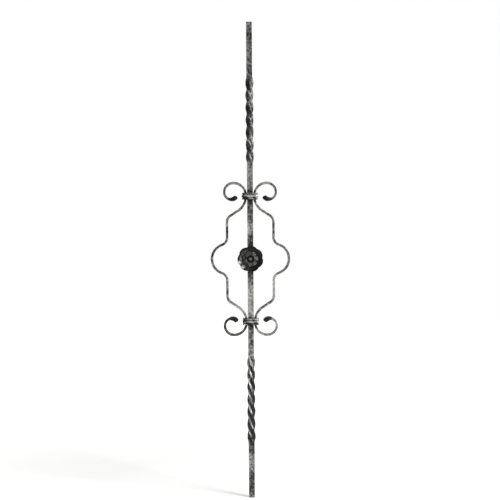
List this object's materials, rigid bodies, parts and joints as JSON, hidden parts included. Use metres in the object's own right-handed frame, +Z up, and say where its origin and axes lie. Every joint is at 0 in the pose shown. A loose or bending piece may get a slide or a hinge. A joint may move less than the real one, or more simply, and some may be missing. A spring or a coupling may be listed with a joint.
{
  "type": "stair baluster",
  "caption": "Upright iron stair baluster: square bar twisted above and below a basket of bent flat bars, with ribbed collars and a stamped flower on its front.",
  "frame": {"origin": "middle of the bottom end of the upright", "axes": "+Z up along the upright, the flower faces -Y, +X to the right seen from the front"},
  "size_m": [0.159, 0.0253, 0.95],
  "materials": {
    "bar_iron": "black paint with silver rubbed over the high places",
    "scroll_iron": "black paint with silver rubbed over the high places",
    "collar_iron": "black paint with silver rubbed over the high places",
    "flower_iron": "black paint with silver rubbed over the high places"
  },
  "bodies": {
    "root": {"twisted_bar": "bar_iron", "left_scroll": "scroll_iron", "right_scroll": "scroll_iron", "upper_collar": "collar_iron", "lower_collar": "collar_iron", "flower_outer_petals": "flower_iron", "flower_inner_petals": "flower_iron", "flower_stud": "flower_iron"}
  },
  "joints": []
}
